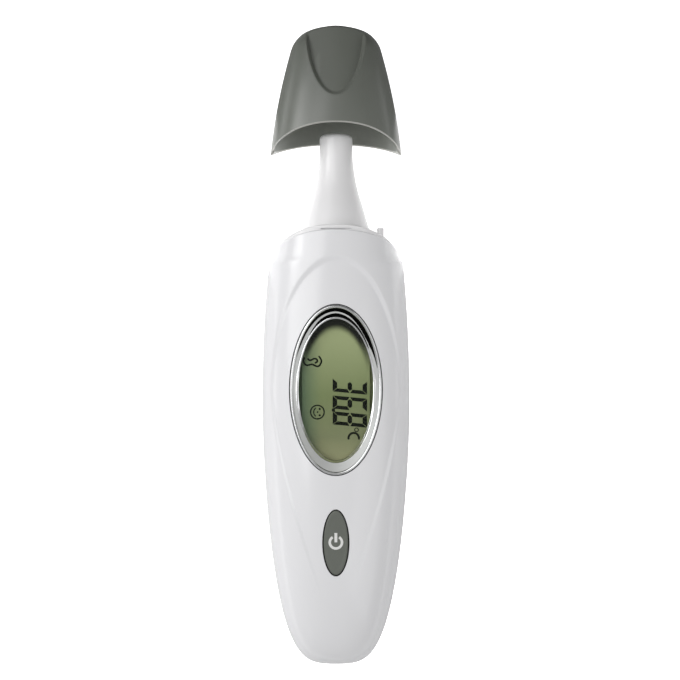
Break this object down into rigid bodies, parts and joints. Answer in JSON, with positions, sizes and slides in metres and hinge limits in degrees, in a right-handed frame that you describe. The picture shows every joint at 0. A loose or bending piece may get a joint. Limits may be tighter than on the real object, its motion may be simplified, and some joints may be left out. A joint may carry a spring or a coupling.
{
  "type": "digital ear thermometer",
  "caption": "Hand-held infrared ear and forehead thermometer with a round-ended body, oval display, power key, tapered probe and a pull-off cap.",
  "frame": {"origin": "on the flat of the back, on the centre line, between the battery door and the scan key", "axes": "+Z out of the display, +Y along the body towards the probe and cap, +X to the reader's right"},
  "size_m": [0.0368, 0.1582, 0.0268],
  "materials": {
    "white_plastic": "glossy white ABS",
    "probe_plastic": "satin-gloss white ABS",
    "grey_plastic": "satin olive-grey ABS",
    "button_grey": "satin olive-grey ABS",
    "chrome": "chrome-plated, satin dish with bright rims",
    "clear_window": "clear acrylic",
    "lcd_glass": "reflective twisted-nematic display",
    "lcd_frame": "white moulded frame",
    "conductive_rubber": "layered conductive rubber",
    "board": "green solder mask",
    "epoxy": "black epoxy",
    "chip_parts": "ceramic chip parts",
    "steel": "bright steel",
    "cell_steel": "nickel-plated steel",
    "switch_case": "black moulded",
    "plunger": "ivory moulded",
    "sensor_metal": "turned aluminium",
    "infrared_window": "coated silicon",
    "flex": "amber polyimide",
    "pin_plastic": "white acetal"
  },
  "bodies": {
    "body": {"front_cover": "white_plastic", "rear_cover": "white_plastic", "case_screws": "steel", "bezel": "chrome", "display_window": "clear_window", "lcd_panel": "lcd_glass", "lcd_frame": "lcd_frame", "zebra_strips": "conductive_rubber", "main_board": "board", "board_screws": "steel", "controller_blob": "epoxy", "board_components": "chip_parts", "crystal": "steel", "buzzer": "switch_case", "power_switch": "switch_case", "scan_switch": "switch_case", "battery": "cell_steel", "contact_negative": "steel", "contact_positive": "steel", "probe_shell": "probe_plastic", "ir_window": "infrared_window", "sensor_can": "steel", "sensor_header": "cell_steel", "sensor_sleeve": "sensor_metal", "sensor_flex": "flex", "mode_pin_spring": "steel", "mode_switch": "switch_case"},
    "cap": {"cap_shell": "grey_plastic"},
    "power_key": {"power_button": "button_grey", "power_switch_plunger": "plunger"},
    "scan_key": {"scan_button": "button_grey", "scan_switch_plunger": "plunger"},
    "cap_pin": {"mode_pin": "pin_plastic"},
    "coin_door": {"battery_door": "white_plastic"}
  },
  "joints": [
    {"name": "cap_slide", "type": "slide", "parent": "body", "child": "cap", "axis": [0, 1, 0], "range_m": [-0.025, 0.03]},
    {"name": "power_press", "type": "slide", "parent": "body", "child": "power_key", "axis": [0, 0, -1], "range_m": [0, 0.0003], "stiffness_N_per_m": 4000, "springref_m": -0.00015},
    {"name": "scan_press", "type": "slide", "parent": "body", "child": "scan_key", "axis": [0, 0, 1], "range_m": [0, 0.0003], "stiffness_N_per_m": 4000, "springref_m": -0.00015},
    {"name": "cap_pin_press", "type": "slide", "parent": "body", "child": "cap_pin", "axis": [0, -1, 0], "range_m": [0, 0.001], "stiffness_N_per_m": 300, "springref_m": -0.0005, "deforming": ["mode_pin_spring"]},
    {"name": "door_turn", "type": "hinge", "parent": "body", "child": "coin_door", "pos_m": [0, -0.014, 0], "axis": [0, 0, 1], "range_deg": [0, 40]}
  ]
}
